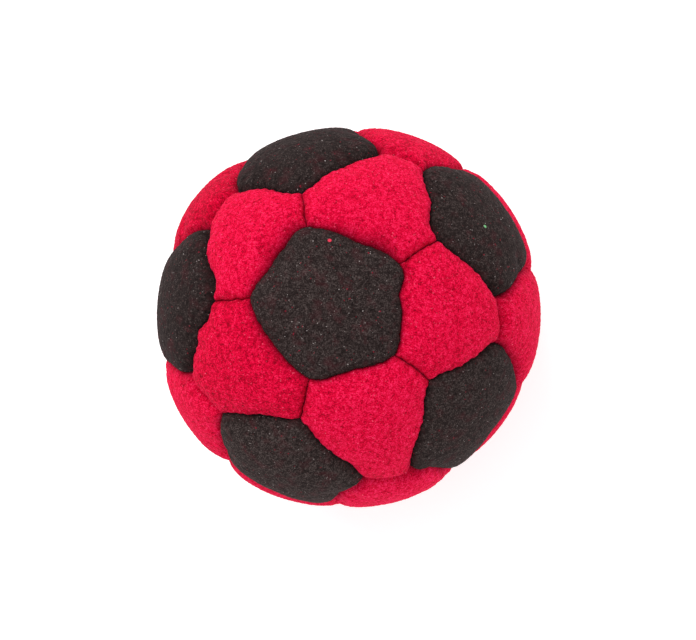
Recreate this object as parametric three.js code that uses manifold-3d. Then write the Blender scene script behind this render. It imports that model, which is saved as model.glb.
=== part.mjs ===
// A hand-sewn juggling ball of the footbag kind: twelve five-sided and twenty six-sided microsuede
// panels, the thread that joins them and the pellets that fill the bag.
// Millimetres, +Z up. The ball stands on its bottom panel, and the origin is the centre of the
// flat patch that its weight presses into that panel.
//
// The panels' centres are the corners and face centres of an icosahedron. Each panel is a skin of
// cloth whose edges turn in between the neighbours, as seam allowances do on a bag that is sewn
// inside out.
import * as THREE from 'three';
import { mergeVertices } from 'three/addons/utils/BufferGeometryUtils.js';
import Module from 'manifold-3d';

const wasm = await Module();
wasm.setup();

const DEGREE = Math.PI / 180;

// ---- Driving dimensions -------------------------------------------------------------------
const ballRadius = 26; // from the ball's centre to the crown of a panel
const restingSquash = 1; // how far the weight flattens the bottom panel
const clothThickness = 0.8;
const allowanceGap = 0.3; // clearance between two turned-in seam allowances
const grooveDepth = 1.5; // from a panel's crown down to the seam
const allowanceDepth = 2.2; // from the seam down to the raw edge of the allowance
const pentagonReach = 24.4 * DEGREE; // between a black panel's centre and its corners
const outlineStep = 10.5 * DEGREE; // longest stretch of seam that one straight edge may cover
const threadDiameter = 0.7;
const threadClearance = 0.35; // between the raw edges and the thread under them
const fillingClearance = 0.4; // between the filling and the cloth above it
const channelDepth = 1.5; // from the middle of the thread down to the filling under it
const knotSize = 0.55; // radius of the knot's own loops
const knotThreadRadius = 0.25; // the thread is pulled thin where it is knotted
const knotTurns = [2, 3]; // round the knot's axis, and through its middle
const knotSegments = [30, 6]; // along the knot's thread, and round it
const mergeDistance = 1e-3; // points nearer than this are one point
const angleTolerance = 0.01;

// ---- Sizes that follow from them ----------------------------------------------------------
const centreHeight = ballRadius - restingSquash;
const seamRadius = ballRadius - grooveDepth;
const rawEdgeRadius = seamRadius - allowanceDepth;
const threadRadius = rawEdgeRadius - threadClearance - threadDiameter / 2;
const outerInset = allowanceGap / 2;
const innerInset = outerInset + clothThickness;
const fillingCrown = ballRadius - clothThickness - fillingClearance;
const fillingAtSeam = threadRadius - channelDepth;

// The cloth from its crown to the raw edge and back under itself. Each pair is the distance in
// from the seam and the distance from the ball's centre.
const clothProfile = [
  [3.4, ballRadius - 0.08],
  [1.4, ballRadius - 0.35],
  [0.5, ballRadius - 0.8],
  [outerInset, seamRadius],
  [outerInset, rawEdgeRadius],
  [innerInset, rawEdgeRadius],
  [innerInset, seamRadius - 0.2],
  [3.4, ballRadius - clothThickness - 0.1],
];
// The pellets press up under each panel and leave a channel for the seam. The pairs are as above.
const fillingProfile = [
  [4.4, fillingCrown - 0.15],
  [2.9, fillingCrown - 1],
  [1.6, fillingAtSeam + 0.2],
  [0, fillingAtSeam],
];

// ---- Materials ----------------------------------------------------------------------------
const suede = { roughness: 0.95, metalness: 0 };
const materials = {
  red: { color: new THREE.Color('#e01a42'), ...suede },
  black: { color: new THREE.Color('#3a302f'), ...suede },
  thread: { color: new THREE.Color('#33292a'), roughness: 0.8, metalness: 0 },
  pellets: { color: new THREE.Color('#e4ddd0'), roughness: 0.5, metalness: 0 },
};

const ball = new THREE.Group();
ball.position.z = centreHeight;

function addPiece(name, geometry, materialName) {
  const mesh = new THREE.Mesh(geometry, new THREE.MeshStandardMaterial(materials[materialName]));
  mesh.name = name;
  ball.add(mesh);
}

// ---- The layout of the panels -------------------------------------------------------------
function direction(polarAngle, azimuth) {
  const sideways = new THREE.Vector3(Math.cos(azimuth), Math.sin(azimuth), 0);
  return sideways.multiplyScalar(Math.sin(polarAngle)).setZ(Math.cos(polarAngle));
}

// The direction that lies `angle` from `from` on the way to `to`.
function turnTowards(from, to, angle) {
  const axis = from.clone().cross(to).normalize();
  return from.clone().applyAxisAngle(axis, angle);
}

// A panel is its centre and its corners, counter-clockwise as seen from outside. Each seam plane
// passes through the ball's centre, and its normal points into the panel.
function makePanel(corners) {
  const centre = new THREE.Vector3();
  corners.forEach((corner) => centre.add(corner));
  centre.normalize();
  const seamNormals = corners.map((corner, index) => {
    const next = corners[(index + 1) % corners.length];
    return corner.clone().cross(next).normalize();
  });
  return { centre, corners, seamNormals };
}

function pentagonPanel(centre, neighbours) {
  const sideways = turnTowards(centre, neighbours[0], Math.PI / 2);
  const upwards = centre.clone().cross(sideways);
  const turn = (point) => Math.atan2(point.dot(upwards), point.dot(sideways));
  const inOrder = [...neighbours].sort((a, b) => turn(a) - turn(b));
  return makePanel(inOrder.map((neighbour) => turnTowards(centre, neighbour, pentagonReach)));
}

function hexagonPanel(a, b, c) {
  const counterClockwise = a.clone().cross(b).dot(c) > 0;
  const [first, second, third] = counterClockwise ? [a, b, c] : [a, c, b];
  return makePanel([
    turnTowards(first, second, pentagonReach),
    turnTowards(second, first, pentagonReach),
    turnTowards(second, third, pentagonReach),
    turnTowards(third, second, pentagonReach),
    turnTowards(third, first, pentagonReach),
    turnTowards(first, third, pentagonReach),
  ]);
}

const ringAngle = Math.atan(2); // between neighbouring corners of an icosahedron
const ringCount = 5; // black panels in each ring
const fifthTurn = (2 * Math.PI) / ringCount;
const top = direction(0, 0);
const bottom = direction(Math.PI, 0);
const upperRing = [];
const lowerRing = [];
for (let j = 0; j < ringCount; j += 1) {
  upperRing.push(direction(ringAngle, (j + 0.5) * fifthTurn));
  lowerRing.push(direction(Math.PI - ringAngle, (j + 1) * fifthTurn));
}
const pentagonCentres = [top, ...upperRing, ...lowerRing, bottom];

function neighboursOf(centre) {
  const isNext = (other) => Math.abs(centre.angleTo(other) - ringAngle) < angleTolerance;
  return pentagonCentres.filter(isNext);
}

// ---- Skins made of loops ------------------------------------------------------------------
// The panel's outline, moved in from the seams and out to a radius, as a loop of points.
function outlineLoop(panel, inset, radius) {
  const { corners, seamNormals } = panel;
  const count = corners.length;
  const movedCorners = corners.map((corner, index) => {
    const normalBefore = seamNormals[(index + count - 1) % count];
    const normalAfter = seamNormals[index];
    const inward = normalBefore.clone().add(normalAfter).normalize();
    const reach = inset / inward.dot(normalAfter);
    const along = Math.sqrt(radius * radius - reach * reach);
    return corner.clone().multiplyScalar(along).addScaledVector(inward, reach);
  });
  const loop = [];
  movedCorners.forEach((start, index) => {
    const next = (index + 1) % count;
    const end = movedCorners[next];
    const steps = Math.round(corners[index].angleTo(corners[next]) / outlineStep);
    for (let step = 0; step < steps; step += 1) {
      loop.push(start.clone().lerp(end, step / steps).setLength(radius));
    }
  });
  return loop;
}

// The floor stops every point that would lie below it, leaving a flat patch.
function aboveFloor(point, floorHeight) {
  const lowest = floorHeight - centreHeight;
  return new THREE.Vector3(point.x, point.y, Math.max(point.z, lowest));
}

function addTriangle(positions, a, b, c) {
  positions.push(...a.toArray(), ...b.toArray(), ...c.toArray());
}

function addFan(positions, pole, loop) {
  loop.forEach((point, index) => {
    addTriangle(positions, pole, point, loop[(index + 1) % loop.length]);
  });
}

function addBand(positions, inner, outer) {
  inner.forEach((point, index) => {
    const next = (index + 1) % inner.length;
    addTriangle(positions, point, outer[index], outer[next]);
    addTriangle(positions, point, outer[next], inner[next]);
  });
}

function geometryFrom(positions) {
  const geometry = new THREE.BufferGeometry();
  geometry.setAttribute('position', new THREE.Float32BufferAttribute(positions, 3));
  const merged = mergeVertices(geometry, mergeDistance);
  merged.computeVertexNormals();
  return merged;
}

// One panel of cloth: crown, rolled edge, turned-in allowance, and the same way back inside.
function clothGeometry(panel) {
  const outerCrown = aboveFloor(panel.centre.clone().multiplyScalar(ballRadius), 0);
  const innerRadius = ballRadius - clothThickness;
  const innerCrown = aboveFloor(panel.centre.clone().multiplyScalar(innerRadius), clothThickness);
  const insideFrom = clothProfile.findIndex(([inset]) => inset === innerInset);
  const loops = clothProfile.map(([inset, radius], index) => {
    const floorHeight = index < insideFrom ? 0 : clothThickness;
    return outlineLoop(panel, inset, radius).map((point) => aboveFloor(point, floorHeight));
  });
  const positions = [];
  addFan(positions, outerCrown, loops[0]);
  for (let index = 1; index < loops.length; index += 1) {
    addBand(positions, loops[index - 1], loops[index]);
  }
  addFan(positions, innerCrown, [...loops.at(-1)].reverse());
  return geometryFrom(positions);
}

// The filling's share under one panel. The shares meet at the seams and close the body together.
function addFillingShare(positions, panel) {
  const floorHeight = clothThickness + fillingClearance;
  const crown = aboveFloor(panel.centre.clone().multiplyScalar(fillingCrown), floorHeight);
  const loops = fillingProfile.map(([inset, radius]) => (
    outlineLoop(panel, inset, radius).map((point) => aboveFloor(point, floorHeight))
  ));
  addFan(positions, crown, loops[0]);
  for (let index = 1; index < loops.length; index += 1) {
    addBand(positions, loops[index - 1], loops[index]);
  }
}

// ---- The thread ---------------------------------------------------------------------------
function solidFrom(geometry) {
  const plain = geometry.clone();
  plain.deleteAttribute('normal');
  plain.deleteAttribute('uv');
  const merged = mergeVertices(plain, mergeDistance);
  return new wasm.Manifold(new wasm.Mesh({
    numProp: 3,
    vertProperties: new Float32Array(merged.attributes.position.array),
    triVerts: new Uint32Array(merged.index.array),
  }));
}

function geometryFromSolid(solid) {
  const mesh = solid.getMesh();
  const geometry = new THREE.BufferGeometry();
  geometry.setAttribute('position', new THREE.Float32BufferAttribute(mesh.vertProperties, 3));
  geometry.setIndex(new THREE.Uint32BufferAttribute(mesh.triVerts, 1));
  geometry.computeVertexNormals();
  return geometry;
}

// The thread's share on one panel's side of the seams: half of its six-sided section, swept round
// the panel. Each pair of the section is the distance in from the seam and the height.
function addThreadShare(positions, panel) {
  const radius = threadDiameter / 2;
  const side = radius * Math.cos(30 * DEGREE);
  const halfSection = [[0, radius], [side, radius / 2], [side, -radius / 2], [0, -radius]];
  const loops = halfSection.map(([inset, height]) => (
    outlineLoop(panel, inset, threadRadius + height)
  ));
  for (let index = 1; index < loops.length; index += 1) {
    addBand(positions, loops[index], loops[index - 1]);
  }
}

// The knot that ends the sewing lies flat under a seam of the bottom panel.
function closingKnot(panel) {
  const [from, to] = panel.corners;
  const middle = from.clone().add(to).normalize();
  const upwards = new THREE.Vector3(0, 0, 1);
  const tilt = new THREE.Quaternion().setFromUnitVectors(upwards, middle);
  const counts = [...knotSegments, ...knotTurns];
  const knot = new THREE.TorusKnotGeometry(knotSize, knotThreadRadius, ...counts);
  knot.applyQuaternion(tilt);
  knot.translate(...middle.multiplyScalar(threadRadius).toArray());
  return knot;
}

function threadGeometry(panels, knottedPanel) {
  const positions = [];
  panels.forEach((panel) => addThreadShare(positions, panel));
  const network = solidFrom(geometryFrom(positions));
  return geometryFromSolid(network.add(solidFrom(closingKnot(knottedPanel))));
}

// ---- The ball -----------------------------------------------------------------------------
const pentagonNames = ['pentagon_top'];
for (const ring of ['upper', 'lower']) {
  for (let j = 1; j <= ringCount; j += 1) {
    pentagonNames.push(`pentagon_${ring}_${j}`);
  }
}
pentagonNames.push('pentagon_bottom');

const pentagons = pentagonCentres.map((centre) => pentagonPanel(centre, neighboursOf(centre)));
pentagons.forEach((panel, index) => addPiece(pentagonNames[index], clothGeometry(panel), 'black'));

const hexagons = [];
for (let j = 0; j < ringCount; j += 1) {
  const next = (j + 1) % ringCount;
  const hexagonsHere = {
    top: hexagonPanel(top, upperRing[j], upperRing[next]),
    upper: hexagonPanel(upperRing[j], upperRing[next], lowerRing[j]),
    lower: hexagonPanel(lowerRing[j], lowerRing[next], upperRing[next]),
    bottom: hexagonPanel(bottom, lowerRing[j], lowerRing[next]),
  };
  Object.entries(hexagonsHere).forEach(([place, panel]) => {
    hexagons.push(panel);
    addPiece(`hexagon_${place}_${j + 1}`, clothGeometry(panel), 'red');
  });
}

const panels = [...pentagons, ...hexagons];
addPiece('seam_thread', threadGeometry(panels, pentagons.at(-1)), 'thread');

const fillingPositions = [];
panels.forEach((panel) => addFillingShare(fillingPositions, panel));
addPiece('pellet_filling', geometryFrom(fillingPositions), 'pellets');

export default ball;
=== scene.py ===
"""The looks of a hand-sewn juggling ball of the footbag kind.

Thirty-two panels of microsuede are sewn inside out into a bag of loose plastic pellets. The panels'
corners follow an icosahedron, as the CAD part's do. The whole cover is blown up over its seams by a
cloth simulation. Then each panel becomes a closed piece of cloth of its own: a fine napped top, a
rolled lip along each seam, the allowance that turns in, and the back of the cloth.

Numbers are millimetres from the ball's centre until to_frame() turns them into metres in the frame.
"""

import itertools
import math

import bmesh
import bpy
import numpy as np
from mathutils import Matrix, Vector
from mathutils.kdtree import KDTree


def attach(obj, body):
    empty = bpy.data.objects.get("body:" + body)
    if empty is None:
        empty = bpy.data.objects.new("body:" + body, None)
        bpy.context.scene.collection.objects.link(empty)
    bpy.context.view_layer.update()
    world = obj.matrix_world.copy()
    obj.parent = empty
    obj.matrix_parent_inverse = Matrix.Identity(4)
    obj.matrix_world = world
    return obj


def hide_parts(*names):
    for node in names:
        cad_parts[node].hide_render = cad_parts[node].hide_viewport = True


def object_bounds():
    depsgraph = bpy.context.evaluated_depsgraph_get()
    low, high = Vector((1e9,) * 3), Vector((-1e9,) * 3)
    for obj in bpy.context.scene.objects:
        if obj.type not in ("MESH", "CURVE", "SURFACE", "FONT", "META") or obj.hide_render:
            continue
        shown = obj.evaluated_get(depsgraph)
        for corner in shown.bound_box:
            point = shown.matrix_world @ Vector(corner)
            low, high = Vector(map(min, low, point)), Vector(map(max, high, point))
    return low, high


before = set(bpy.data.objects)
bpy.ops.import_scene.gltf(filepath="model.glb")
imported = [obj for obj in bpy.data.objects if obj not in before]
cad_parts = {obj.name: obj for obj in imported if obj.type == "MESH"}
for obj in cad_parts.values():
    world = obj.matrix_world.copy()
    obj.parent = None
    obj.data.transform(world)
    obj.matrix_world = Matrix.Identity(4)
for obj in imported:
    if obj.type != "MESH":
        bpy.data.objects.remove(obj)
cad_low, cad_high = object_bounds()

MM = 0.001

# ---- The ball's own sizes, as in the CAD part ----
BALL_RADIUS = 26.0
PENTAGON_REACH = math.radians(24.4)
CLOTH = 0.8
ALLOWANCE = 2.2
CENTRE_HEIGHT = cad_high.z / MM - BALL_RADIUS
FLOOR = -CENTRE_HEIGHT

# ---- The seams ----
SEAM_RADIUS = 24.55  # where the domes of two panels would meet, before their lips roll in
LIP_WIDTH = 1.1
LIP_DEPTH = 0.65
DEEP_WIDENS = 0.9  # added to a lip's width for each millimetre that its seam lies deeper
SEAM_GAP = 0.03
STITCH = 1.3
PUCKER = 0.09
OVAL = 0.016  # how much longer the ball is across one way than the other
OVAL_AZIMUTH = math.radians(33)

# ---- Meshes ----
GRID = 6  # quads along half a seam in the simulated cover
LEVELS = 3  # subdivisions of each panel's top after the simulation
FINE = 2**LEVELS


# ---- Layout of the panels ----
def unit(vectors):
    return vectors / np.linalg.norm(vectors, axis=-1, keepdims=True)


def direction(polar, azimuth):
    sideways = math.sin(polar)
    return np.array(
        [sideways * math.cos(azimuth), sideways * math.sin(azimuth), math.cos(polar)]
    )


def turn_towards(start, end, angle):
    """The direction that lies angle from start on the way to end."""
    sideways = unit(end - start * (start @ end))
    return start * math.cos(angle) + sideways * math.sin(angle)


RING_ANGLE = math.atan(2)  # between neighbouring black panels
FIFTH = 2 * math.pi / 5
ANGLE_TOLERANCE = 0.01
NEIGHBOUR_COSINE = 0.4  # of the angle within which two black panels are neighbours
pentagon_centres = {"top": direction(0, 0), "bottom": direction(math.pi, 0)}
for ring_index in range(5):
    upper = direction(RING_ANGLE, (ring_index + 0.5) * FIFTH)
    lower = direction(math.pi - RING_ANGLE, (ring_index + 1) * FIFTH)
    pentagon_centres[f"upper_{ring_index + 1}"] = upper
    pentagon_centres[f"lower_{ring_index + 1}"] = lower


def sewn_corner(start, end):
    """The corner of black panel start that points at black panel end."""
    return turn_towards(pentagon_centres[start], pentagon_centres[end], PENTAGON_REACH)


def ring_of(name):
    return name.split("_")[0]


def pentagon_corners(name):
    centre = pentagon_centres[name]
    neighbours = [
        other
        for other, place in pentagon_centres.items()
        if abs(math.acos(np.clip(place @ centre, -1, 1)) - RING_ANGLE) < ANGLE_TOLERANCE
    ]
    sideways = turn_towards(centre, pentagon_centres[neighbours[0]], math.pi / 2)
    upwards = np.cross(centre, sideways)

    def azimuth(other):
        place = pentagon_centres[other]
        return math.atan2(place @ upwards, place @ sideways)

    return [sewn_corner(name, other) for other in sorted(neighbours, key=azimuth)]


def hexagon_corners(names):
    a, b, c = names
    place = pentagon_centres
    if np.cross(place[a], place[b]) @ place[c] < 0:
        b, c = c, b
    pairs = [(a, b), (b, a), (b, c), (c, b), (c, a), (a, c)]
    return [sewn_corner(start, end) for start, end in pairs]


def all_panels():
    """Each panel's name, corners (counter-clockwise from outside) and material slot."""
    panels = []
    for name in pentagon_centres:
        panels.append((f"pentagon_{name}", pentagon_corners(name), "black_suede"))
    for j in range(1, 6):
        k = j % 5 + 1
        around = {
            "top": ("top", f"upper_{j}", f"upper_{k}"),
            "upper": (f"upper_{j}", f"upper_{k}", f"lower_{j}"),
            "lower": (f"lower_{j}", f"lower_{k}", f"upper_{k}"),
            "bottom": ("bottom", f"lower_{j}", f"lower_{k}"),
        }
        for place, names in around.items():
            panels.append((f"hexagon_{place}_{j}", hexagon_corners(names), "red_suede"))
    return panels


# ---- Noise ----
FAR_CORNER = 100  # keeps the numbers of the noise's cells above 0
SMOOTH_GAIN = 1.7
GRAIN_SLOPE = 1.6


def hashed(cells, seed):
    """A number from 0 to 255 for each whole-numbered cell."""
    order = np.random.RandomState(seed).permutation(256)
    mixed = order[cells[:, 0] & 255]
    mixed = order[(mixed + cells[:, 1]) & 255]
    return order[(mixed + cells[:, 2]) & 255]


def smooth_noise(points, size, seed):
    """Smooth noise, mostly from -1 to 1. One lump is about size wide."""
    gradients = unit(np.random.RandomState(seed).normal(size=(256, 3)))
    scaled = points / size + FAR_CORNER
    cells = np.floor(scaled).astype(int)
    inside = scaled - cells
    ease = inside**3 * (inside * (inside * 6 - 15) + 10)
    total = np.zeros(len(points))
    for corner in itertools.product((0, 1), repeat=3):
        offset = np.array(corner)
        share = np.prod(np.where(offset == 1, ease, 1 - ease), axis=1)
        slopes = gradients[hashed(cells + offset, seed)]
        total += share * np.einsum("ij,ij->i", slopes, inside - offset)
    return total * SMOOTH_GAIN


def grain_noise(points, size, seed):
    """Rounded grains with creases between them: 1 in the middle of a grain, 0 or less between."""
    places = np.random.RandomState(seed).rand(256, 3)
    scaled = points / size + FAR_CORNER
    cells = np.floor(scaled).astype(int)
    nearest = np.full(len(points), 9.0)
    for offset in itertools.product((-1, 0, 1), repeat=3):
        neighbour = cells + np.array(offset)
        away = neighbour + places[hashed(neighbour, seed)] - scaled
        nearest = np.minimum(nearest, np.einsum("ij,ij->i", away, away))
    return 1 - GRAIN_SLOPE * np.sqrt(nearest)


# ---- Hand sewing ----
# Corners that are sewn off their ideal places, in millimetres along X and Y as seen from above.
SEWN_ASIDE = {
    ("top", "upper_1"): (-0.15, -0.35),
    ("top", "upper_2"): (-0.8, 0.1),
    ("top", "upper_3"): (-0.75, 0.3),
    ("top", "upper_4"): (0.4, 0.0),
    ("upper_2", "top"): (-0.3, -0.45),
    ("upper_3", "top"): (-0.3, 0.0),
    ("upper_4", "top"): (0.9, 0.1),
    ("upper_5", "top"): (0.0, 0.3),
    ("upper_1", "upper_2"): (0.4, -0.1),
    ("upper_2", "upper_1"): (0.8, 0.0),
    ("upper_2", "upper_3"): (0.4, 0.2),
    ("upper_3", "upper_2"): (0.9, 0.3),
    ("upper_3", "upper_4"): (-0.4, 0.45),
    ("upper_4", "upper_3"): (0.7, 0.5),
    ("upper_4", "upper_5"): (0.7, -1.0),
    ("upper_5", "upper_4"): (0.7, -2.0),
    ("upper_1", "upper_5"): (-0.4, -0.8),
    ("upper_1", "lower_5"): (0.2, -0.6),
    ("upper_5", "lower_4"): (0.3, -0.42),
    ("upper_4", "lower_3"): (0.1, 0.3),
    ("upper_1", "lower_1"): (-0.2, -0.1),
    ("upper_2", "lower_1"): (0.5, 0.0),
}
ASIDE_SPREAD = 3.2
LARGER_BELOW = 0.7  # the upper black panels were cut this much longer towards the lower ones
BLUNT = 0.75  # how far a black panel's sides bulge out beside its corners
BULGE_MID_SIDE = 0.45  # the share of this bulge in the middle of a side
BULGE_SPREAD = 20  # degrees round the panel that the bulge reaches from a corner
BULGE_CLEAR = 7  # degrees round the panel that it stays clear of the corner itself
BULGE_WIDTH = math.radians(7)  # how far it reaches in and out from the side
WANDER = {"size": 9, "reach": 0.4, "seed": 11}  # slow drift of the seams on the lower half
WANDER_FADE = 0.25  # in radii: none this far above the ball's middle, all of it this far below
WOBBLE = {"size": 2.4, "reach": 0.16, "seed": 21}  # unevenness of every seam


def corner_shifts():
    """Each corner that is sewn off its ideal place, and its shift in millimetres."""
    for (start, end), (along_x, along_y) in SEWN_ASIDE.items():
        corner = sewn_corner(start, end)
        along_z = -(along_x * corner[0] + along_y * corner[1]) / corner[2]
        yield corner, np.array([along_x, along_y, along_z])
    for start, end in itertools.permutations(pentagon_centres, 2):
        neighbours = pentagon_centres[start] @ pentagon_centres[end] > NEIGHBOUR_COSINE
        if neighbours and ring_of(start) == "upper" and ring_of(end) == "lower":
            corner = sewn_corner(start, end)
            yield corner, LARGER_BELOW * unit(corner - pentagon_centres[start])


def blunted_corners(directions):
    """Pushes the black panels' sides out, most of all beside the corners, which end up blunt."""
    shift = np.zeros_like(directions)
    middle_reach = math.atan(math.tan(PENTAGON_REACH) * math.cos(math.pi / 5))
    for name, centre in pentagon_centres.items():
        toward_corner = unit(pentagon_corners(name)[0] - centre * math.cos(PENTAGON_REACH))
        sideways = np.cross(centre, toward_corner)
        across, up = directions @ toward_corner, directions @ sideways
        reach = np.arccos(np.clip(directions @ centre, -1, 1))
        turn = np.degrees(np.arctan2(up, across)) % math.degrees(FIFTH)
        from_corner = np.minimum(turn, math.degrees(FIFTH) - turn)
        near_corner = np.exp(-((from_corner / BULGE_SPREAD) ** 2))
        beside_corner = BULGE_MID_SIDE + (1 - BULGE_MID_SIDE) * near_corner
        beside_corner *= 1 - np.exp(-((from_corner / BULGE_CLEAR) ** 2))
        near_side = np.exp(-(((reach - middle_reach) / BULGE_WIDTH) ** 2))
        outwards = unit(across[:, None] * toward_corner + up[:, None] * sideways + 1e-9)
        shift += (BLUNT * beside_corner * near_side)[:, None] * outwards
    return shift


def sewn_by_hand(directions):
    """Moves points of the unit sphere sideways, as uneven sewing moves the seams."""
    shift = blunted_corners(directions)
    for corner, aside in corner_shifts():
        distance = np.linalg.norm(directions - corner, axis=1) * BALL_RADIUS
        shift += np.exp(-0.5 * (distance / ASIDE_SPREAD) ** 2)[:, None] * aside
    points = directions * BALL_RADIUS
    low_down = np.clip(0.5 - 0.5 * directions[:, 2] / WANDER_FADE, 0, 1)
    for axis in range(3):
        drift = smooth_noise(points, WANDER["size"], WANDER["seed"] + axis)
        shift[:, axis] += drift * WANDER["reach"] * low_down
        uneven = smooth_noise(points, WOBBLE["size"], WOBBLE["seed"] + axis)
        shift[:, axis] += uneven * WOBBLE["reach"]
    return unit(directions + shift / BALL_RADIUS)


# Uneven places on the black panels' sides: a panel, the corners at the side's ends and the share of
# the way between them. Then how much wider the panel is, how much deeper the seam lies and how far
# this reaches, in millimetres.
UNEVEN_SIDES = {
    ("top", "upper_1", "upper_2", 0.22): (0.25, 1.0, 1.6),
    ("top", "upper_1", "upper_2", 0.5): (0.2, 0.8, 2.5),
    ("top", "upper_2", "upper_3", 0.2): (0.8, 0.7, 1.6),
    ("top", "upper_2", "upper_3", 0.5): (0.8, 0.8, 2.0),
    ("top", "upper_3", "upper_4", 0.5): (0.6, 0.5, 2.5),
    ("top", "upper_5", "upper_1", 0.65): (-0.45, 0.0, 0.9),
    ("top", "upper_5", "upper_1", 0.88): (0.4, 0.1, 1.0),
    ("upper_1", "upper_2", "top", 0.5): (-0.3, 0.0, 1.2),
    ("upper_1", "upper_2", "top", 0.82): (0.3, 0.4, 1.0),
    ("upper_1", "top", "upper_5", 0.85): (-0.3, 0.0, 1.2),
    ("upper_2", "top", "upper_1", 0.3): (-0.4, -0.2, 1.8),
    ("upper_2", "upper_3", "top", 0.5): (-0.35, 0.0, 2.0),
    ("upper_3", "upper_2", "top", 0.75): (0.6, 0.8, 1.5),
    ("upper_3", "top", "upper_4", 0.42): (-1.0, 0.0, 1.2),
    ("upper_3", "top", "upper_4", 0.75): (-0.4, 0.0, 1.3),
    ("upper_4", "upper_3", "top", 0.55): (0.7, 0.2, 2.0),
    ("upper_4", "top", "upper_5", 0.3): (-0.3, 0.0, 1.8),
    ("upper_4", "top", "upper_5", 0.72): (0.2, 0.3, 1.4),
    ("upper_5", "top", "upper_1", 0.35): (-0.35, -0.2, 1.8),
    ("upper_5", "top", "upper_4", 0.45): (-0.45, -0.3, 2.2),
    ("upper_5", "upper_1", "lower_5", 0.5): (0.4, 0.6, 2.2),
    ("upper_5", "lower_4", "lower_5", 0.5): (0.4, 0.0, 3.0),
    ("upper_4", "lower_3", "lower_4", 0.35): (-0.4, 0.0, 2.5),
}
# How much deeper some corners of the black panels lie, in millimetres.
DEEP_CORNERS = {
    ("upper_1", "upper_5"): 1.3,
    ("upper_1", "lower_5"): 0.8,
    ("upper_1", "lower_1"): 0.9,
    ("upper_2", "top"): -0.25,
    ("upper_2", "upper_1"): 1.0,
    ("upper_2", "upper_3"): 0.5,
    ("upper_2", "lower_1"): 0.9,
    ("upper_2", "lower_2"): -0.8,
    ("upper_3", "upper_2"): 0.9,
    ("upper_3", "upper_4"): 0.9,
    ("upper_4", "upper_5"): 0.8,
    ("upper_4", "lower_3"): 0.4,
    ("upper_5", "upper_4"): 0.8,
    ("upper_5", "lower_4"): 0.4,
    ("upper_5", "upper_1"): 0.7,
}
DEEP_CORNER_SPREAD = 1.8


def uneven_places():
    """Each uneven place's direction, the way out of the black panel, and its three numbers."""
    numbers_of = dict(UNEVEN_SIDES)
    for (name, start), depth in DEEP_CORNERS.items():
        numbers_of[(name, start, start, 0)] = (0.0, depth, DEEP_CORNER_SPREAD)
    for (name, start, end, share), numbers in numbers_of.items():
        ideal = sewn_corner(name, start) * (1 - share) + sewn_corner(name, end) * share
        place = sewn_by_hand(unit(ideal)[None])[0]
        outwards = place - pentagon_centres[name]
        yield place, unit(outwards - place * (outwards @ place)), *numbers


UNEVEN_PLACES = list(uneven_places())


def unevenness(points):
    """How far uneven sewing shifts each point sideways, and how much deeper a seam lies there."""
    shift = np.zeros_like(points)
    deeper = np.zeros(len(points))
    for place, outwards, wider, depth, spread in UNEVEN_PLACES:
        distance = np.linalg.norm(unit(points) - place, axis=1) * BALL_RADIUS
        near = np.exp(-0.5 * (distance / spread) ** 2)
        shift += (wider * near)[:, None] * outwards
        deeper += depth * near
    return shift, deeper


def roundness(directions):
    """How far out the cover lies at each direction, as a share of a true ball's radius."""
    along = directions @ direction(math.pi / 2, OVAL_AZIMUTH)
    return (1 + OVAL * (along**2 - 1 / 3))[:, None]


# ---- The cover as one coarse sheet ----
def corner_patch(centre, before, corner, after):
    """A grid of directions over the four-sided share of a panel that lies next to one corner."""
    steps = np.linspace(0, 1, GRID + 1)
    u, v = np.meshgrid(steps, steps, indexing="ij")
    u, v = u[..., None], v[..., None]
    flat = (1 - u) * (1 - v) * centre + u * (1 - v) * before + u * v * corner + (1 - u) * v * after
    return unit(flat).reshape(-1, 3)


SAME_PLACE = 6  # decimals of a direction that two panels' shared points agree in


def build_cover(panels):
    """The cover's directions, its quads, each quad's panel, and which points lie on a seam."""
    points = []
    quads = []
    owners = []
    on_seam = []
    for owner, (_, corners, _) in enumerate(panels):
        centre = unit(np.sum(corners, axis=0))
        for k, corner in enumerate(corners):
            before = unit(corner + corners[k - 1])
            after = unit(corner + corners[(k + 1) % len(corners)])
            first = len(points)
            points.extend(corner_patch(centre, before, corner, after))
            for i, j in itertools.product(range(GRID + 1), repeat=2):
                on_seam.append(i == GRID or j == GRID)
            for i, j in itertools.product(range(GRID), repeat=2):
                here = first + i * (GRID + 1) + j
                quads.append((here, here + GRID + 1, here + GRID + 2, here + 1))
                owners.append(owner)
    rounded = np.round(np.array(points), SAME_PLACE)
    _, kept, index = np.unique(rounded, axis=0, return_index=True, return_inverse=True)
    index = index.reshape(-1)
    return np.array(points)[kept], index[np.array(quads)], np.array(owners), np.array(on_seam)[kept]


def new_mesh_object(name, points, faces):
    mesh = bpy.data.meshes.new(name)
    mesh.from_pydata(points.tolist(), [], [list(map(int, face)) for face in faces])
    mesh.update()
    made = bpy.data.objects.new(name, mesh)
    bpy.context.scene.collection.objects.link(made)
    return made


def points_of(mesh):
    flat = np.empty(len(mesh.vertices) * 3)
    mesh.vertices.foreach_get("co", flat)
    return flat.reshape(-1, 3)


SIM_SCALE = 0.02  # metres for each millimetre: Cloth is steady on a ball a metre across
SIM_FRAMES = 20
PRESSURE = 20.0
POINT_MASS = 0.3
TIGHTEST = -0.02  # a panel's shrink factor in Cloth: below 0, it has cloth to spare
SLACKEST = -0.12
COMMON_SLACK = (0.25, 0.45)
SLACK_SEED = 51
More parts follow.
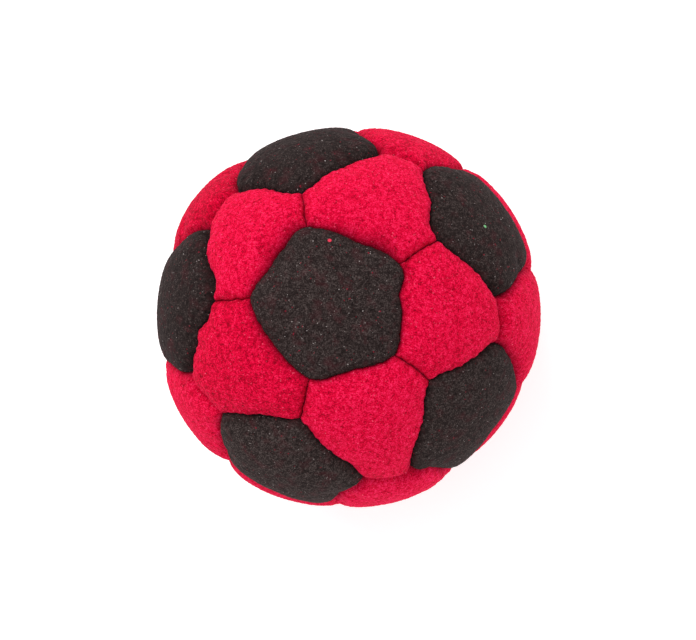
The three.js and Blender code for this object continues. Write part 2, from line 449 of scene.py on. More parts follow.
# How slack some panels are, from 0 to 1. A slacker panel is fuller.
FULLNESS = {
    "pentagon_upper_1": 0.4,
    "pentagon_upper_2": 0.25,
    "pentagon_upper_3": 0.25,
    "pentagon_upper_4": 0.6,
    "pentagon_upper_5": 0.05,
    "hexagon_upper_1": 0.2,
    "hexagon_upper_2": 0.5,
    "hexagon_upper_3": 0.35,
    "hexagon_upper_4": 0.5,
    "hexagon_lower_3": 0.6,
    "hexagon_lower_4": 0.05,
    "hexagon_lower_5": 0.5,
}


def slack_of(panels, quads, owners, count):
    """How slack the cover is at each point, from 0 to 1."""
    generator = np.random.RandomState(SLACK_SEED)
    slack = np.zeros(count)
    for owner, (name, _, _) in enumerate(panels):
        slack[quads[owners == owner]] = FULLNESS.get(name, generator.uniform(*COMMON_SLACK))
    return slack


def inflate(directions, quads, on_seam, slack):
    """The cover's points once the filling presses on it."""
    start = directions * roundness(directions) * SEAM_RADIUS
    cover = new_mesh_object("cover_being_filled", start * SIM_SCALE, quads)
    seams = cover.vertex_groups.new(name="seams")
    seams.add([int(i) for i in np.flatnonzero(on_seam)], 1.0, "REPLACE")
    tight = cover.vertex_groups.new(name="tight")
    for index, share in enumerate(slack):
        tight.add([index], float(1 - share), "REPLACE")
    cloth = cover.modifiers.new("filled", "CLOTH")
    settings = cloth.settings
    settings.quality = 6
    settings.mass = POINT_MASS
    settings.tension_stiffness = 15
    settings.compression_stiffness = 15
    settings.shear_stiffness = 5
    settings.bending_stiffness = 0.5
    settings.vertex_group_shrink = "tight"
    settings.shrink_min = SLACKEST
    settings.shrink_max = TIGHTEST
    settings.use_pressure = True
    settings.uniform_pressure_force = PRESSURE
    settings.vertex_group_mass = "seams"
    settings.effector_weights.gravity = 0
    cloth.collision_settings.use_collision = False
    cloth.point_cache.frame_start = 1
    cloth.point_cache.frame_end = SIM_FRAMES
    scene = bpy.context.scene
    for number in range(1, SIM_FRAMES + 1):
        scene.frame_set(number)
    filled = cover.evaluated_get(bpy.context.evaluated_depsgraph_get())
    points = points_of(filled.to_mesh()) / SIM_SCALE
    bpy.data.objects.remove(cover)
    scene.frame_set(1)
    return points


def tree_of(points):
    tree = KDTree(len(points))
    for index, point in enumerate(points):
        tree.insert(point, index)
    tree.balance()
    return tree


# ---- One panel ----
def boundary_loop(faces):
    """The points round the edge of a patch of faces, counter-clockwise."""
    edges = set()
    for face in faces:
        for start, end in zip(face, np.roll(face, -1)):
            edges.add((int(start), int(end)))
    following = {start: end for start, end in edges if (end, start) not in edges}
    loop = [next(iter(following))]
    while following[loop[-1]] != loop[0]:
        loop.append(following[loop[-1]])
    return np.array(loop)


def start_at(loop, points, place):
    """The same loop, beginning at its point nearest to place."""
    away = np.linalg.norm(points[loop] - place, axis=1)
    return np.roll(loop, -int(np.argmin(away)))


def subdivided(points, faces):
    """Catmull-Clark, with the panel's corners kept sharp."""
    coarse = new_mesh_object("panel_being_smoothed", points, faces)
    smoother = coarse.modifiers.new("smooth", "SUBSURF")
    smoother.levels = LEVELS
    smoother.boundary_smooth = "PRESERVE_CORNERS"
    smooth = coarse.evaluated_get(bpy.context.evaluated_depsgraph_get()).to_mesh()
    fine_points = points_of(smooth)
    corners = np.empty(len(smooth.polygons) * 4, int)
    smooth.loops.foreach_get("vertex_index", corners)
    bpy.data.objects.remove(coarse)
    return fine_points, corners.reshape(-1, 4)


def inward_offsets(loop_points, corner_places, distance):
    """How to move each point of a panel's edge loop to get distance in from its seams."""
    count = len(loop_points)
    sides = len(corner_places)
    offsets = np.zeros_like(loop_points)
    at_corner = []
    for k in range(sides):
        here = loop_points[corner_places[k]]
        ahead = loop_points[corner_places[(k + 1) % sides]] - here
        behind = loop_points[corner_places[k - 1]] - here
        inward = unit(unit(ahead) + unit(behind))
        half_angle = 0.5 * math.acos(np.clip(unit(ahead) @ unit(behind), -1, 1))
        at_corner.append(inward * distance / math.sin(half_angle))
    for k in range(sides):
        start = corner_places[k]
        length = (corner_places[(k + 1) % sides] - start) % count
        share = (np.arange(length) / length)[:, None]
        blended = at_corner[k] * (1 - share) + at_corner[(k + 1) % sides] * share
        offsets[(start + np.arange(length)) % count] = blended
    return offsets


def at_radius(points, radius):
    return unit(points) * np.asarray(radius).reshape(-1, 1)


FLOOR_SOFTNESS = 0.2  # how gently the cover bends where it meets the floor
FLOOR_SINK = 0.01
FLOOR_REACH = 4 * FLOOR_SOFTNESS  # what is higher than this above the floor stays as it is


def on_the_floor(points, floor):
    """Presses what lies below the floor flat against it."""
    pressed = points.copy()
    above = points[:, 2] - floor
    bent = 0.5 * (above + np.sqrt(above**2 + FLOOR_SOFTNESS**2))
    pressed[:, 2] = floor + bent - FLOOR_SINK
    pressed[:, 2] = np.where(above > FLOOR_REACH, points[:, 2], pressed[:, 2])
    pressed[:, 2] = np.maximum(pressed[:, 2], floor)
    return pressed


# Painted shade for each whole panel, as if its nap lay another way: more than 0 is painted lighter,
# less than 0 darker.
PANEL_PAINTED_SHADE = {
    "hexagon_top_3": -0.045,
    "hexagon_top_5": -0.01,
    "hexagon_upper_1": -0.035,
    "hexagon_upper_2": -0.07,
    "hexagon_upper_4": 0.03,
    "pentagon_upper_1": -0.02,
    "pentagon_upper_2": -0.04,
    "pentagon_upper_3": -0.04,
    "pentagon_upper_4": 0.02,
}
NAP = {
    "red_suede": {"grain": 0.46, "height": 0.09, "seed": 31},
    "black_suede": {"grain": 0.38, "height": 0.06, "seed": 41},
}
GRAIN_BEND = {"size": 0.5, "reach": 0.12}  # bends the nap's grains out of their cells
GRAIN_SHARE = 0.9
LUMP_SHARE = 0.2
LUMP_SIZE = 2.5  # in grains
RAGGED = {1.1: 0.12, 0.5: 0.05}  # how far the seams waver, for lumps of each size
RAGGED_SEED = 61


def ragged(points):
    """The seams waver a little from one stitch to the next."""
    shift, _ = unevenness(points)
    for size, reach in RAGGED.items():
        for axis in range(3):
            shift[:, axis] += reach * smooth_noise(points, size, RAGGED_SEED + axis)
    outwards = unit(points)
    return points + shift - np.einsum("ij,ij->i", shift, outwards)[:, None] * outwards


def nap_of(points, slot):
    """The relief of the nap, mostly from -1 to 1."""
    grain, seed = NAP[slot]["grain"], NAP[slot]["seed"]
    bend = [smooth_noise(points, GRAIN_BEND["size"], seed + axis) for axis in (1, 2, 3)]
    bent = points + GRAIN_BEND["reach"] * np.stack(bend, axis=1)
    grains = grain_noise(bent, grain, seed)
    lumps = smooth_noise(points, grain * LUMP_SIZE, seed + 4)
    return GRAIN_SHARE * grains + LUMP_SHARE * lumps


def stitch_pull(count, sides, corner_places, loop_points):
    """-1 where a stitch pulls the seam in and 1 halfway to the next, for each point of the loop."""
    pull = np.zeros(count)
    for k in range(sides):
        start = corner_places[k]
        length = (corner_places[(k + 1) % sides] - start) % count
        places = (start + np.arange(length + 1)) % count
        steps = np.linalg.norm(np.diff(loop_points[places], axis=0), axis=1)
        stitches = max(2, round(steps.sum() / STITCH))
        along = np.concatenate([[0], np.cumsum(steps)[:-1]]) / steps.sum()
        pull[places[:-1]] = -np.cos(2 * math.pi * stitches * along)
    return pull


PUCKER_REACH = 0.7  # how far from a seam the stitches' pull fades
NAP_WORN = 0.3  # the share of the nap's height that is lost on the lip
LIP_THICKNESS = 0.3  # how deep the fine ring lies under the lip's edge
TURNED_IN = 0.75  # depth of the first coarse ring of the allowance
BACK_DEPTH = 0.6  # depth of the ring where the allowance's far side meets the cloth's back
BACK_CLEAR = 0.35  # how much further in from the seam this ring lies
BACK_SHARE = 0.84  # the back's width as a share of the panel's
BACK_FOLLOWS = 0.5  # the share of a seam's extra depth that the back follows
FLOOR_PANEL = -0.5  # a panel whose first corner's direction is lower than this may touch the floor
INSIDE_SHADE = -0.3  # the nap's relief on the cloth's hidden side
SEAM_SHADE = 0.35  # how far the seam's shade reaches
SEAM_SHADE_GROWS = 0.7  # and how much further for each millimetre that the seam lies deeper


def rolled_top(top, loop, corner_places, slot):
    """The panel's napped top with its lip rolled in, the nap's relief and the seam's shade."""
    tree = tree_of(top[loop])
    found = [tree.find(point) for point in top]
    nearest = np.array([hit[1] for hit in found])
    away = np.array([hit[2] for hit in found])
    pull = stitch_pull(len(loop), len(corner_places), corner_places, top[loop])
    _, deeper = unevenness(top[loop])
    rolled = 1 - np.clip(away / (LIP_WIDTH + DEEP_WIDENS * deeper[nearest]), 0, 1)
    drop = (LIP_DEPTH + deeper[nearest]) * (1 - np.sqrt(1 - rolled**2))
    puckered = PUCKER * pull[nearest] * np.exp(-away / PUCKER_REACH)
    nap = nap_of(top, slot)
    relief = NAP[slot]["height"] * nap * (1 - NAP_WORN * rolled)
    radius = np.linalg.norm(top, axis=1) - drop + puckered + relief
    reach = SEAM_SHADE + SEAM_SHADE_GROWS * np.maximum(deeper, 0)[nearest]
    return at_radius(top, radius), nap, np.exp(-away / reach)


def allowance_rings(lip, corner_places):
    """A fine ring just under the lip, then coarse rings down the allowance and back up."""
    lip_radius = np.linalg.norm(lip, axis=1)
    fine_ring = at_radius(lip, lip_radius - LIP_THICKNESS)
    thin = lip[::FINE]
    thin_radius = lip_radius[::FINE]
    coarse_corners = [place // FINE for place in corner_places]
    back = inward_offsets(thin, coarse_corners, CLOTH)
    further = inward_offsets(thin, coarse_corners, CLOTH + BACK_CLEAR)
    halfway = 0.5 * (TURNED_IN + ALLOWANCE)
    coarse_rings = [
        at_radius(thin, thin_radius - TURNED_IN),
        at_radius(thin, thin_radius - halfway),
        at_radius(thin, thin_radius - ALLOWANCE),
        at_radius(thin + back, thin_radius - ALLOWANCE),
        at_radius(thin + back, thin_radius - halfway),
        at_radius(thin + further, thin_radius - BACK_DEPTH),
    ]
    return fine_ring, coarse_rings


def cloth_back(points, near_floor):
    """The back of the cloth: the coarse panel again, drawn in from the seams and down."""
    _, deeper = unevenness(points)
    radius = np.linalg.norm(points, axis=1) - CLOTH - BACK_FOLLOWS * deeper
    centre = unit(points.mean(axis=0))
    along = (points @ centre)[:, None] * centre
    drawn_in = at_radius(along + (points - along) * BACK_SHARE, radius)
    return on_the_floor(drawn_in, FLOOR + CLOTH) if near_floor else drawn_in


def rim_faces(loop, coarse_loop, starts):
    """The faces from the top's edge, through the rings, to the edge of the cloth's back.

    starts holds the number of the first point of the top, of each ring and of the back.
    """
    count = len(loop)
    fine, first_ring, last_ring, back = starts[1], starts[2], starts[-2], starts[-1]
    faces = []
    for a in range(count):
        b = (a + 1) % count
        faces.append((loop[a], fine + a, fine + b, loop[b]))
    coarse_count = len(coarse_loop)
    for a in range(coarse_count):
        b = (a + 1) % coarse_count
        for here in range(a * FINE, (a + 1) * FINE):
            faces.append((fine + here, first_ring + a, fine + (here + 1) % count))
        faces.append((first_ring + a, first_ring + b, fine + (a + 1) * FINE % count))
        for low, high in zip(starts[2:-2], starts[3:-1]):
            faces.append((low + a, high + a, high + b, low + b))
        faces.append((last_ring + a, back + coarse_loop[a], back + coarse_loop[b], last_ring + b))
    return faces


def panel_mesh(points, faces, panel_corners, slot):
    """The panel as a closed piece of cloth.

    Gives its points and faces, and the nap's relief and the seam's shade at each point.
    """
    coarse_loop = start_at(boundary_loop(faces), points, panel_corners[0] * SEAM_RADIUS)
    smooth, top_faces = subdivided(points, faces)
    smooth = ragged(smooth)
    loop = start_at(boundary_loop(top_faces), smooth, panel_corners[0] * SEAM_RADIUS)
    corner_places = [k * 2 * GRID * FINE for k in range(len(panel_corners))]

    top, nap, seam = rolled_top(smooth, loop, corner_places, slot)
    top[loop] += inward_offsets(top[loop], corner_places, SEAM_GAP / 2)
    top = on_the_floor(top, FLOOR)
    fine_ring, coarse_rings = allowance_rings(top[loop], corner_places)
    back = cloth_back(points, near_floor=panel_corners[0][2] < FLOOR_PANEL)

    blocks = [top, fine_ring, *coarse_rings, back]
    starts = np.cumsum([0] + [len(block) for block in blocks[:-1]])
    new_faces = [tuple(face) for face in top_faces]
    new_faces += rim_faces(loop, coarse_loop, starts)
    new_faces += [tuple(starts[-1] + corner for corner in face[::-1]) for face in faces]

    whole = np.concatenate(blocks)
    shade = np.full(len(whole), INSIDE_SHADE)
    shade[: len(top)] = nap
    # Painted shade beside the seams on the top, and full painted shade on the cloth's hidden side.
    depth = np.ones(len(whole))
    depth[: len(top)] = seam
    return whole, new_faces, shade, depth


def to_frame(points):
    return (points + np.array([0, 0, CENTRE_HEIGHT])) * MM


def set_attribute(mesh, name, values):
    layer = mesh.attributes.new(name, "FLOAT", "POINT")
    layer.data.foreach_set("value", values.astype(np.float32))


# ---- Materials ----
class Nodes:
    """Short calls that add linked shader nodes to one material."""

    def __init__(self, name):
        self.material = bpy.data.materials.new(name)
        self.material.use_nodes = True
        self.tree = self.material.node_tree
        self.shader = self.tree.nodes["Principled BSDF"]
        place = self.tree.nodes.new("ShaderNodeTexCoord")
        self.place = place.outputs["Object"]

    def link(self, source, target):
        self.tree.links.new(source, target)

    def attribute(self, name):
        node = self.tree.nodes.new("ShaderNodeAttribute")
        node.attribute_name = name
        return node.outputs["Fac"]

    def noise(self, size_mm, detail=2.0):
        node = self.tree.nodes.new("ShaderNodeTexNoise")
        node.inputs["Scale"].default_value = 1 / (size_mm * MM)
        node.inputs["Detail"].default_value = detail
        self.link(self.place, node.inputs["Vector"])
        return node.outputs["Fac"]

    def remap(self, value, low, high, to_low=0.0, to_high=1.0):
        node = self.tree.nodes.new("ShaderNodeMapRange")
        node.inputs["From Min"].default_value = low
        node.inputs["From Max"].default_value = high
        node.inputs["To Min"].default_value = to_low
        node.inputs["To Max"].default_value = to_high
        self.link(value, node.inputs["Value"])
        return node.outputs["Result"]

    def math(self, operation, a, b):
        node = self.tree.nodes.new("ShaderNodeMath")
        node.operation = operation
        for socket, value in zip(node.inputs, (a, b)):
            if isinstance(value, (int, float)):
                socket.default_value = value
            else:
                self.link(value, socket)
        return node.outputs[0]

    def vector_math(self, operation, a, b=None):
        node = self.tree.nodes.new("ShaderNodeVectorMath")
        node.operation = operation
        self.link(a, node.inputs[0])
        if b is not None:
            node.inputs[1].default_value = b
        return node

    def mix(self, share, a, b):
        node = self.tree.nodes.new("ShaderNodeMix")
        node.data_type = "RGBA"
        self.link(share, node.inputs["Factor"])
        for socket, value in ((node.inputs[6], a), (node.inputs[7], b)):
            if isinstance(value, tuple):
                socket.default_value = (*value, 1)
            else:
                self.link(value, socket)
        return node.outputs[2]

    def bump(self, height, strength, distance_mm):
        node = self.tree.nodes.new("ShaderNodeBump")
        node.inputs["Strength"].default_value = strength
        node.inputs["Distance"].default_value = distance_mm * MM
        self.link(height, node.inputs["Height"])
        self.link(node.outputs["Normal"], self.shader.inputs["Normal"])

    def set(self, name, value):
        self.shader.inputs[name].default_value = value


def srgb(red, green, blue):
    """Linear numbers for a colour given as it looks on screen, from 0 to 255."""
    shares = [number / 255 for number in (red, green, blue)]
    return tuple(s / 12.92 if s <= 0.04 else ((s + 0.055) / 1.055) ** 2.4 for s in shares)


NOISE_SPREAD = (0.3, 0.7)  # most values of a noise texture lie between these
FIBRE_SIZE = 0.16
FIBRE_SHARE = 0.85  # how much the fibres, the tufts and each panel's painted shade count for in its colour
TUFT_SHARE = 0.95
PANEL_PAINTED_SHADE_SHARE = 6.0
PIT_TO_BODY = (-1.1, 0.15)  # where their sum takes the nap's colour from one shade to the next
BODY_TO_TIP = (0.15, 1.3)
SEAM_DARKENS = 0.5
SOLID_DAB = 0.6  # the share of a dab of lint that hides the cloth wholly


def suede_material(name, pit, body, tip, specks, sheen, sheen_tint):
    nodes = Nodes(name)
    fibres = nodes.noise(FIBRE_SIZE, 2)
    # Painted shade and highlight: the colour follows the relief of the nap and of the fibres' bump,
    # pit colour in the hollows and tip colour on the tops, together with the cloth's own mottled
    # tone.
    tuft_shade_and_highlight = nodes.math("MULTIPLY", nodes.attribute("nap"), TUFT_SHARE)
    fibre_shade = nodes.remap(fibres, *NOISE_SPREAD, -FIBRE_SHARE, FIBRE_SHARE)
    mixed = nodes.math("ADD", tuft_shade_and_highlight, fibre_shade)
    # Each panel's painted shade makes it lighter or darker as a whole.
    mixed = nodes.math("ADD", mixed, nodes.math("MULTIPLY", nodes.attribute("panel_painted_shade"), PANEL_PAINTED_SHADE_SHARE))
    colour = nodes.mix(nodes.remap(mixed, *PIT_TO_BODY), pit, body)
    colour = nodes.mix(nodes.remap(mixed, *BODY_TO_TIP), colour, tip)
    # Painted shade in the creases beside the seams, wider where a seam lies deeper.
    shadow = nodes.math("MULTIPLY", nodes.attribute("seam"), SEAM_DARKENS)
    colour = nodes.mix(shadow, colour, pit)
    for share, speck_colour in specks(nodes):
        colour = nodes.mix(share, colour, speck_colour)
    nodes.link(colour, nodes.shader.inputs["Base Color"])
    nodes.bump(fibres, strength=0.5, distance_mm=0.08)
    nodes.set("Roughness", 0.95)
    nodes.set("Specular IOR Level", 0.08)
    nodes.set("Sheen Weight", sheen)
    nodes.set("Sheen Roughness", 0.35)
    nodes.set("Sheen Tint", (*sheen_tint, 1))
    return nodes.material


def dab(nodes, polar, azimuth, size_mm):
    """1 within a dab of lint at a place on the ball, and 0 elsewhere."""
    from_centre = nodes.vector_math("SUBTRACT", nodes.place, (0, 0, CENTRE_HEIGHT * MM))
    outwards = nodes.vector_math("NORMALIZE", from_centre.outputs["Vector"])
    place = direction(math.radians(polar), math.radians(azimuth))
    away = nodes.vector_math("DISTANCE", outwards.outputs["Vector"], place)
    size = size_mm / BALL_RADIUS
    return nodes.remap(away.outputs["Value"], size, size * SOLID_DAB)


def flecks(nodes, size, detail, starts, full, strength=1.0):
    """A scatter of specks: none where the noise is below starts, strongest where it is above full.
    """
    return nodes.remap(nodes.noise(size, detail), starts, full, 0.0, strength)


def red_lint_and_glints(nodes):
    # Pale pink specks: partly fluff on the nap, partly painted glints on the fibres' tips.
    fluff_and_glints = flecks(nodes, size=0.26, detail=1, starts=0.68, full=0.8, strength=0.6)
    return [(fluff_and_glints, srgb(255, 110, 140))]


def black_lint(nodes):
    reddish = flecks(nodes, size=1.6, detail=4, starts=0.52, full=0.75, strength=0.35)
    white = flecks(nodes, size=0.3, detail=1, starts=0.745, full=0.775)
    crimson = flecks(nodes, size=0.42, detail=1, starts=0.73, full=0.79, strength=0.7)
    return [
        (reddish, srgb(82, 30, 38)),
        (white, srgb(160, 150, 148)),
        (crimson, srgb(150, 24, 48)),
        (dab(nodes, polar=18.3, azimuth=95.5, size_mm=0.3), srgb(225, 60, 84)),
        (dab(nodes, polar=55.7, azimuth=32.1, size_mm=0.26), srgb(120, 190, 130)),
    ]


materials = {
    "red_suede": suede_material(
        "crimson_microsuede",
        pit=srgb(124, 0, 20),
        body=srgb(222, 0, 52),
        tip=srgb(255, 44, 100),
        specks=red_lint_and_glints,
        sheen=0.2,
        sheen_tint=srgb(255, 40, 110),
    ),
    "black_suede": suede_material(
        "warm_black_microsuede",
        pit=srgb(18, 12, 12),
        body=srgb(44, 35, 34),
        tip=srgb(86, 75, 73),
        specks=black_lint,
        sheen=0.03,
        sheen_tint=srgb(200, 160, 165),
    ),
}


def plain_material(name, colour, variation, size_mm, roughness):
    nodes = Nodes(name)
    grain = nodes.noise(size_mm, 3)
    shade = nodes.mix(nodes.remap(grain, *NOISE_SPREAD), colour, variation)
    nodes.link(shade, nodes.shader.inputs["Base Color"])
    nodes.bump(grain, strength=0.3, distance_mm=0.05)
    nodes.set("Roughness", roughness)
    return nodes.material


materials["thread"] = plain_material(
    "waxed_thread", srgb(52, 42, 42), srgb(30, 24, 24), 0.12, 0.55
)
materials["pellets"] = plain_material(
    "plastic_pellets", srgb(232, 226, 212), srgb(214, 206, 190), 1.5, 0.42
)


# ---- The cover's panels as pieces ----
def cut_size(sides):
    """Width, length and area in metres of a panel as cut, with its allowance."""
    corners = pentagon_corners("top")
    long_side = math.acos(corners[0] @ corners[1]) * BALL_RADIUS
    if sides == 5:
        cut_side = 2 * (long_side / (2 * math.tan(math.pi / 5)) + ALLOWANCE) * math.tan(math.pi / 5)
        width = cut_side * (1 + math.sqrt(5)) / 2
        length = cut_side * 0.5 * (1 / math.sin(math.pi / 5) + 1 / math.tan(math.pi / 5))
        area = 5 * cut_side**2 / (4 * math.tan(math.pi / 5))
    else:
        short_side = (RING_ANGLE - 2 * PENTAGON_REACH) * BALL_RADIUS
        growth = 2 * ALLOWANCE * math.tan(math.pi / 6)
        triangle = long_side + growth + 2 * (short_side + growth)
        width = long_side + short_side + 2 * growth
        length = (triangle - (short_side + growth)) * math.sin(math.pi / 3)
        area = math.sqrt(3) / 4 * (triangle**2 - 3 * (short_side + growth) ** 2)
    return width * MM, length * MM, area * MM**2


def finish_piece(made, node, slot):
    made.data.materials.append(materials[slot])
    made.data.shade_smooth()
    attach(made, "root")
    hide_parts(node)


def make_cover():
    panels = all_panels()
    directions, quads, owners, on_seam = build_cover(panels)
    directions = sewn_by_hand(directions)
    fill = inflate
    slack = slack_of(panels, quads, owners, len(directions))
    points = fill(directions, quads, on_seam, slack)
    for owner, (name, corners, slot) in enumerate(panels):
        own_quads = quads[owners == owner]
        used = np.unique(own_quads)
        local = np.searchsorted(used, own_quads)
        moved = sewn_by_hand(np.array(corners))
        mesh_points, faces, nap, seam = panel_mesh(points[used], local, moved, slot)
        piece = new_mesh_object(name + "_suede", to_frame(mesh_points), faces)
        set_attribute(piece.data, "nap", nap)
        set_attribute(piece.data, "seam", seam)
        # Painted shade, lighter or darker, over the whole panel.
        set_attribute(piece.data, "panel_painted_shade", np.full(len(mesh_points), PANEL_PAINTED_SHADE.get(name, 0.0)))
        finish_piece(piece, name, slot)
        width, length, area = cut_size(len(corners))


# ---- The thread inside the bag ----
THREAD_RADIUS = 0.25
STITCH_PITCH = 2.4
STITCH_CENTRE = 22.4  # radius of the middle of the stitches round the raw edges
STITCH_HALF_WIDTH = 1.1
STITCH_HALF_HEIGHT = 0.85
STITCH_POINTS = 12  # points of the path round one stitch
TUBE_SIDES = 6
KNOT_DEPTH = 2.2  # how far inside the stitches the closing knot lies
KNOT_SIZE = 0.3
KNOT_POINTS = 49
KNOT_OPEN = 0.15  # the angle at which the knot's two ends stop short of each other
SIDEWAYS = (0.3, 0.5, 0.8)  # any direction that no path runs along


def tube(path, radius):
    """Points and faces of a round tube along an open path, closed at both ends."""
    tangents = unit(np.gradient(path, axis=0))
    across = np.cross(tangents, SIDEWAYS)
    for k in range(1, len(path)):
        across[k] = across[k - 1] - tangents[k] * (across[k - 1] @ tangents[k])
    across = unit(across)
    upwards = np.cross(tangents, across)
    angles = np.arange(TUBE_SIDES) * 2 * math.pi / TUBE_SIDES
    ring = np.cos(angles)[:, None, None] * across + np.sin(angles)[:, None, None] * upwards
    points = (path + radius * ring).transpose(1, 0, 2).reshape(-1, 3)
    faces = []
    for k in range(len(path) - 1):
        for side in range(TUBE_SIDES):
            here = k * TUBE_SIDES + side
            beside = k * TUBE_SIDES + (side + 1) % TUBE_SIDES
            faces.append((here, beside, beside + TUBE_SIDES, here + TUBE_SIDES))
    last = len(points) - TUBE_SIDES
    faces.append(tuple(range(TUBE_SIDES))[::-1])
    faces.append(tuple(range(last, last + TUBE_SIDES)))
    return points, faces


def joined(parts):
    """One list of points and one of faces from many."""
    points = np.concatenate([part[0] for part in parts])
    starts = np.cumsum([0] + [len(part[0]) for part in parts])
    faces = []
    for start, (_, part_faces) in zip(starts, parts):
        faces.extend(tuple(int(corner + start) for corner in face) for face in part_faces)
    return points, faces


def all_seams():
    """The two ends of every seam, once."""
    seams = {}
    for _, corners, _ in all_panels():
        for start, end in zip(corners, corners[1:] + corners[:1]):
            key = frozenset((tuple(np.round(start, 4)), tuple(np.round(end, 4))))
            seams[key] = (start, end)
    return list(seams.values())


def seam_line(start, end, count):
    share = np.linspace(0, 1, count)[:, None]
    return sewn_by_hand(unit(start * (1 - share) + end * share))


def whip_stitches(start, end):
    """The thread's path round the raw edges that a seam holds together."""
    length = math.acos(start @ end) * BALL_RADIUS
    stitches = max(1, round(length / STITCH_PITCH))
    line = seam_line(start, end, stitches * STITCH_POINTS + 1)
    along = unit(np.gradient(line, axis=0))
    sideways = np.cross(along, line)
    angle = np.linspace(0, 2 * math.pi * stitches, len(line))[:, None]
    _, deeper = unevenness(line)
    middle = STITCH_CENTRE - np.maximum(deeper, 0)[:, None]
    height = middle + STITCH_HALF_HEIGHT * np.cos(angle)
    return line * height + sideways * STITCH_HALF_WIDTH * np.sin(angle)


def closing_knot():
    """A trefoil in the thread where the last seam was closed, inside the bottom panel's side."""
    start, end = pentagon_corners("bottom")[:2]
    _, middle, _ = seam_line(start, end, 3)
    angle = np.linspace(KNOT_OPEN, 2 * math.pi - KNOT_OPEN, KNOT_POINTS)
    knot = np.stack(
        [
            np.sin(angle) + 2 * np.sin(2 * angle),
            np.cos(angle) - 2 * np.cos(2 * angle),
            -np.sin(3 * angle),
        ],
        axis=1,
    )
    return middle * (STITCH_CENTRE - KNOT_DEPTH) + KNOT_SIZE * knot


def make_thread():
    paths = [whip_stitches(start, end) for start, end in all_seams()]
    paths.append(closing_knot())
    points, faces = joined([tube(path, THREAD_RADIUS) for path in paths])
    thread = new_mesh_object("whip_stitched_thread", to_frame(points), faces)
    finish_piece(thread, "seam_thread", "thread")


# ---- The pellets ----
PELLET = 3.0
PELLET_SPACING = 3.2
PELLET_LENGTHS = (0.9, 1.02)
PELLET_HALF_WIDTH = 0.44  # as a share of its length
PELLET_SHAKE = 0.05  # how far it lies off its place in the packing
PELLET_CLEARANCE = 0.2
PELLET_SEED = 71
PACKING_STEPS = 24  # enough steps each way to fill the ball
SEAM_POINTS = 12  # points of a seam from which the pellets keep clear


def pellet_places(generator):
    """Where the pellets lie: close-packed, and clear of the cover, its allowances and the floor."""
    steps = np.arange(-PACKING_STEPS, PACKING_STEPS + 1)
    i, j, k = np.meshgrid(steps, steps, steps, indexing="ij")
    lattice = np.stack([i, j, k], axis=-1).reshape(-1, 3)
    lattice = lattice[lattice.sum(axis=1) % 2 == 0] * PELLET_SPACING / math.sqrt(2)
    places = lattice + generator.uniform(-PELLET_SHAKE, PELLET_SHAKE, lattice.shape)
    seams = [seam_line(start, end, SEAM_POINTS) for start, end in all_seams()]
    tree = tree_of(np.concatenate(seams) * STITCH_CENTRE)
    radius = np.linalg.norm(places, axis=1)
    clear_of_floor = places[:, 2] > FLOOR + CLOTH + 0.5 * PELLET + PELLET_CLEARANCE
    places = places[(radius < SEAM_RADIUS - CLOTH - 0.5 * PELLET) & clear_of_floor]
    away = np.array([tree.find(place)[2] for place in places])
    return places[away > STITCH_HALF_WIDTH + THREAD_RADIUS + 0.5 * PELLET]


def random_rotations(generator, count):
    """One rotation matrix for each pellet, every way round alike, from random quaternions."""
    w, x, y, z = unit(generator.normal(size=(count, 4))).T
    rows = [
        [1 - 2 * (y * y + z * z), 2 * (x * y - w * z), 2 * (x * z + w * y)],
        [2 * (x * y + w * z), 1 - 2 * (x * x + z * z), 2 * (y * z - w * x)],
        [2 * (x * z - w * y), 2 * (y * z + w * x), 1 - 2 * (x * x + y * y)],
    ]
    return np.array(rows).transpose(2, 0, 1)


def rounded_pellet():
    """A short rod with rounded ends."""
    builder = bmesh.new()
    bmesh.ops.create_icosphere(builder, subdivisions=2, radius=0.5 * PELLET)
    points = np.array([vertex.co[:] for vertex in builder.verts])
    faces = np.array([[vertex.index for vertex in face.verts] for face in builder.faces])
    builder.free()
    across = np.linalg.norm(points[:, :2], axis=1)
    half_width = PELLET_HALF_WIDTH * PELLET
    points[:, :2] *= np.minimum(1, half_width / np.maximum(across, 0.01))[:, None]
    return points, faces


def make_pellets():
    generator = np.random.RandomState(PELLET_SEED)
    places = pellet_places(generator)
    base, base_faces = rounded_pellet()
    lengths = generator.uniform(*PELLET_LENGTHS, (len(places), 1, 1))
    shaped = base * np.concatenate([np.ones_like(lengths)] * 2 + [lengths], axis=2)
    points = np.einsum("nij,nkj->nki", random_rotations(generator, len(places)), shaped)
    points = (points + places[:, None]).reshape(-1, 3)
    starts = np.arange(len(places))[:, None, None] * len(base)
    faces = (base_faces + starts).reshape(-1, 3)
    pellets = new_mesh_object("poured_pellets", to_frame(points), faces)
    finish_piece(pellets, "pellet_filling", "pellets")


make_cover()
make_thread()
make_pellets()

# ---- Stage, light and camera ----
WHITE = (1, 1, 1, 1)
PALE = (0.9, 0.9, 0.9, 1)
FLOOR_HALF_SIZE = 2.0  # metres
FLOOR_DROP = 0.0001  # keeps the floor just under the ball's flat patch
FLOOR_GLOW = 0.47
WALL_LIGHT = 0.8
WALL_BEHIND = 1.0

floor_corners = [(-1, -1), (1, -1), (1, 1), (-1, 1)]
floor_points = [(x * FLOOR_HALF_SIZE, y * FLOOR_HALF_SIZE, -FLOOR_DROP) for x, y in floor_corners]
floor = new_mesh_object("floor", np.array(floor_points), [(0, 1, 2, 3)])
floor_nodes = Nodes("pale_floor")
floor_nodes.set("Roughness", 0.9)
floor_nodes.set("Base Color", PALE)
floor_nodes.set("Emission Color", WHITE)
floor_nodes.set("Emission Strength", FLOOR_GLOW)
floor.data.materials.append(floor_nodes.material)

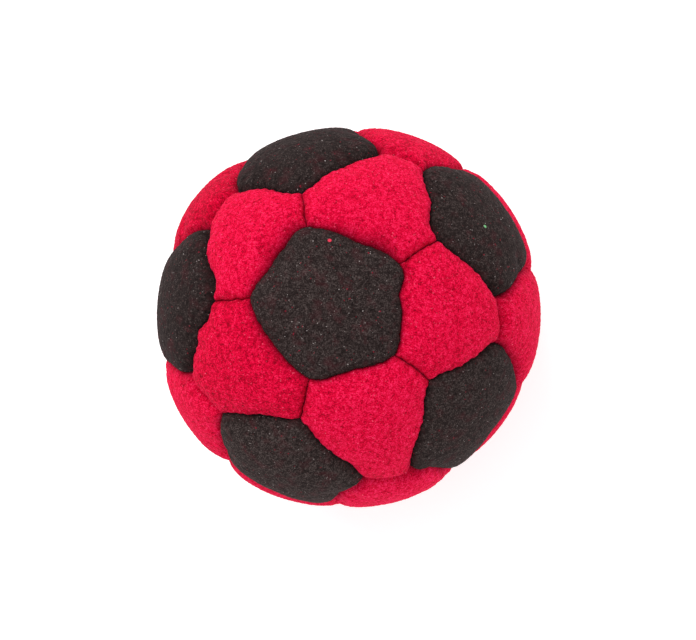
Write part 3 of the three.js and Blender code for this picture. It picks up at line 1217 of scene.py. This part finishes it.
# The room's walls light the ball softly. The camera sees a whiter wall, like the floor's white.
world = bpy.data.worlds.new("soft_room")
world.use_nodes = True
world_nodes, world_links = world.node_tree.nodes, world.node_tree.links
walls = world_nodes["Background"]
walls.inputs["Color"].default_value = WHITE
walls.inputs["Strength"].default_value = WALL_LIGHT
wall_behind = world_nodes.new("ShaderNodeBackground")
wall_behind.inputs["Color"].default_value = WHITE
wall_behind.inputs["Strength"].default_value = WALL_BEHIND
ray_kind = world_nodes.new("ShaderNodeLightPath")
chosen = world_nodes.new("ShaderNodeMixShader")
world_links.new(ray_kind.outputs["Is Camera Ray"], chosen.inputs["Fac"])
world_links.new(walls.outputs["Background"], chosen.inputs[1])
world_links.new(wall_behind.outputs["Background"], chosen.inputs[2])
world_links.new(chosen.outputs["Shader"], world_nodes["World Output"].inputs["Surface"])
bpy.context.scene.world = world
bpy.context.scene.view_settings.view_transform = "Standard"

ball_centre = Vector((0, 0, CENTRE_HEIGHT * MM))


def area_light(name, towards, distance, size, power):
    data = bpy.data.lights.new(name, "AREA")
    data.shape = "DISK"
    data.size = size
    data.energy = power
    lamp = bpy.data.objects.new(name, data)
    lamp.location = ball_centre + Vector(towards).normalized() * distance
    lamp.rotation_mode = "QUATERNION"
    lamp.rotation_quaternion = Vector(towards).to_track_quat("Z", "Y")
    bpy.context.scene.collection.objects.link(lamp)


area_light("key", towards=(-0.5, 0.65, 1.3), distance=0.8, size=0.5, power=2.8)

CAMERA_DISTANCE = 0.313
CAMERA_TOWARDS = Vector((0.0853, -0.0589, 0.9946)).normalized()
CAMERA_RIGHT = Vector((0.9953, 0.0516, -0.0823))
CAMERA_SHIFT = (-0.0004, -0.0057)  # the ball lies a hair off the middle of the picture
SENSOR = 36.0
LENS = 121.0

camera_data = bpy.data.cameras.new("camera")
camera_data.sensor_width = SENSOR
camera_data.lens = LENS
camera_data.clip_start = 0.01
camera_data.shift_x, camera_data.shift_y = CAMERA_SHIFT
camera = bpy.data.objects.new("camera", camera_data)
bpy.context.scene.collection.objects.link(camera)
right = (CAMERA_RIGHT - CAMERA_TOWARDS * CAMERA_RIGHT.dot(CAMERA_TOWARDS)).normalized()
up = CAMERA_TOWARDS.cross(right)
turn = Matrix((right, up, CAMERA_TOWARDS)).transposed().to_4x4()
camera.matrix_world = Matrix.Translation(ball_centre + CAMERA_TOWARDS * CAMERA_DISTANCE) @ turn
bpy.context.scene.camera = camera
